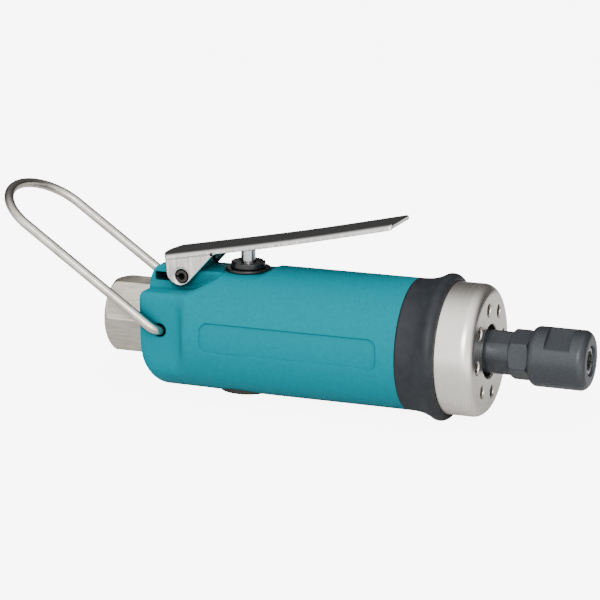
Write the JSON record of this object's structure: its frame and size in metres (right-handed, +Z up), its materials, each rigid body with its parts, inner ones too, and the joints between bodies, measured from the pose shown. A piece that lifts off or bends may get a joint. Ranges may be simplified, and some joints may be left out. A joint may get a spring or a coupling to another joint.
{
  "type": "air die grinder",
  "caption": "Straight air die grinder with a lever throttle, a small collet, a rubber front ring and a hanging bail.",
  "frame": {"origin": "centre of the collet's mouth, on the spindle's axis", "axes": "+X along the spindle and out of the collet, +Z up towards the throttle lever"},
  "size_m": [0.1992, 0.047, 0.0663],
  "materials": {
    "teal_composite": "satin",
    "dark_rubber": "matte",
    "turned_stainless": "satin, turned",
    "inlet_steel": "brushed",
    "bail_wire": "satin",
    "lever_steel": "polished",
    "black_oxide": "black oxide, satin",
    "bright_steel": "ground",
    "dark_steel": "blackened",
    "black_plastic": "satin",
    "seal_rubber": "matte",
    "seat_brass": "satin",
    "motor_iron": "ground",
    "vane_phenolic": "matte",
    "felt": "matte",
    "gasket_fibre": "matte"
  },
  "bodies": {
    "housing": {"housing": "teal_composite", "inlet_bushing": "inlet_steel", "inlet_oring": "seal_rubber", "inlet_screen": "bright_steel", "lever_pin": "dark_steel", "valve_bushing": "black_plastic", "valve_washer": "black_plastic", "stem_oring": "seal_rubber", "valve_seat": "seat_brass", "valve_spring": "bright_steel", "regulator_pin": "bright_steel", "motor_gasket": "gasket_fibre", "rear_bearing_plate": "motor_iron", "rear_bearing_outer": "bright_steel", "motor_cylinder": "motor_iron", "cylinder_pin": "bright_steel", "front_bearing_plate": "motor_iron", "wave_washer": "bright_steel", "front_bearing_outer": "bright_steel", "front_cap": "turned_stainless", "silencer_ring": "felt", "rubber_ring": "dark_rubber"},
    "lever": {"throttle_lever": "lever_steel"},
    "valve": {"valve_stem": "bright_steel", "valve_poppet": "black_plastic"},
    "regulator": {"speed_regulator": "dark_steel", "regulator_oring": "seal_rubber"},
    "bail": {"hanging_bail": "bail_wire"},
    "spindle": {"rotor": "bright_steel", "vanes": "vane_phenolic", "rear_bearing_inner": "bright_steel", "front_bearing_inner": "bright_steel", "shaft_spacer": "bright_steel", "collet_body": "black_oxide", "collet": "bright_steel"},
    "rear_balls": {"rear_bearing_balls": "bright_steel"},
    "front_balls": {"front_bearing_balls": "bright_steel"},
    "nut": {"collet_nut": "black_oxide"}
  },
  "joints": [
    {"name": "lever_hinge", "type": "hinge", "parent": "housing", "child": "lever", "pos_m": [-0.1336, 0, 0.01725], "axis": [0, 1, 0], "range_deg": [0, 9], "stiffness_Nm_per_rad": 0.4},
    {"name": "valve_slide", "type": "slide", "parent": "housing", "child": "valve", "axis": [0, 0, -1], "range_m": [0, 0.0034], "deforming": ["valve_spring"]},
    {"name": "regulator_turn", "type": "hinge", "parent": "housing", "child": "regulator", "pos_m": [-0.114, 0, -0.0189], "axis": [0, 0, 1], "range_deg": [0, 90]},
    {"name": "bail_hinge", "type": "hinge", "parent": "housing", "child": "bail", "pos_m": [-0.1383, 0, 0.0006], "axis": [0, 1, 0], "range_deg": [-150, 85]},
    {"name": "spindle_turn", "type": "hinge", "parent": "housing", "child": "spindle", "pos_m": [0, 0, 0], "axis": [1, 0, 0], "continuous": true},
    {"name": "rear_cage_turn", "type": "hinge", "parent": "housing", "child": "rear_balls", "pos_m": [-0.09975, 0, 0], "axis": [1, 0, 0], "continuous": true},
    {"name": "front_cage_turn", "type": "hinge", "parent": "housing", "child": "front_balls", "pos_m": [-0.0553, 0, 0], "axis": [1, 0, 0], "continuous": true},
    {"name": "nut_turn", "type": "hinge", "parent": "spindle", "child": "nut", "pos_m": [-0.0118, 0, 0], "axis": [1, 0, 0], "range_deg": [0, 360]}
  ],
  "couplings": [
    {"joint": "valve_slide", "follows": "lever_hinge", "m_per_rad": 0.0205},
    {"joint": "rear_cage_turn", "follows": "spindle_turn", "ratio": 0.368},
    {"joint": "front_cage_turn", "follows": "spindle_turn", "ratio": 0.368}
  ]
}
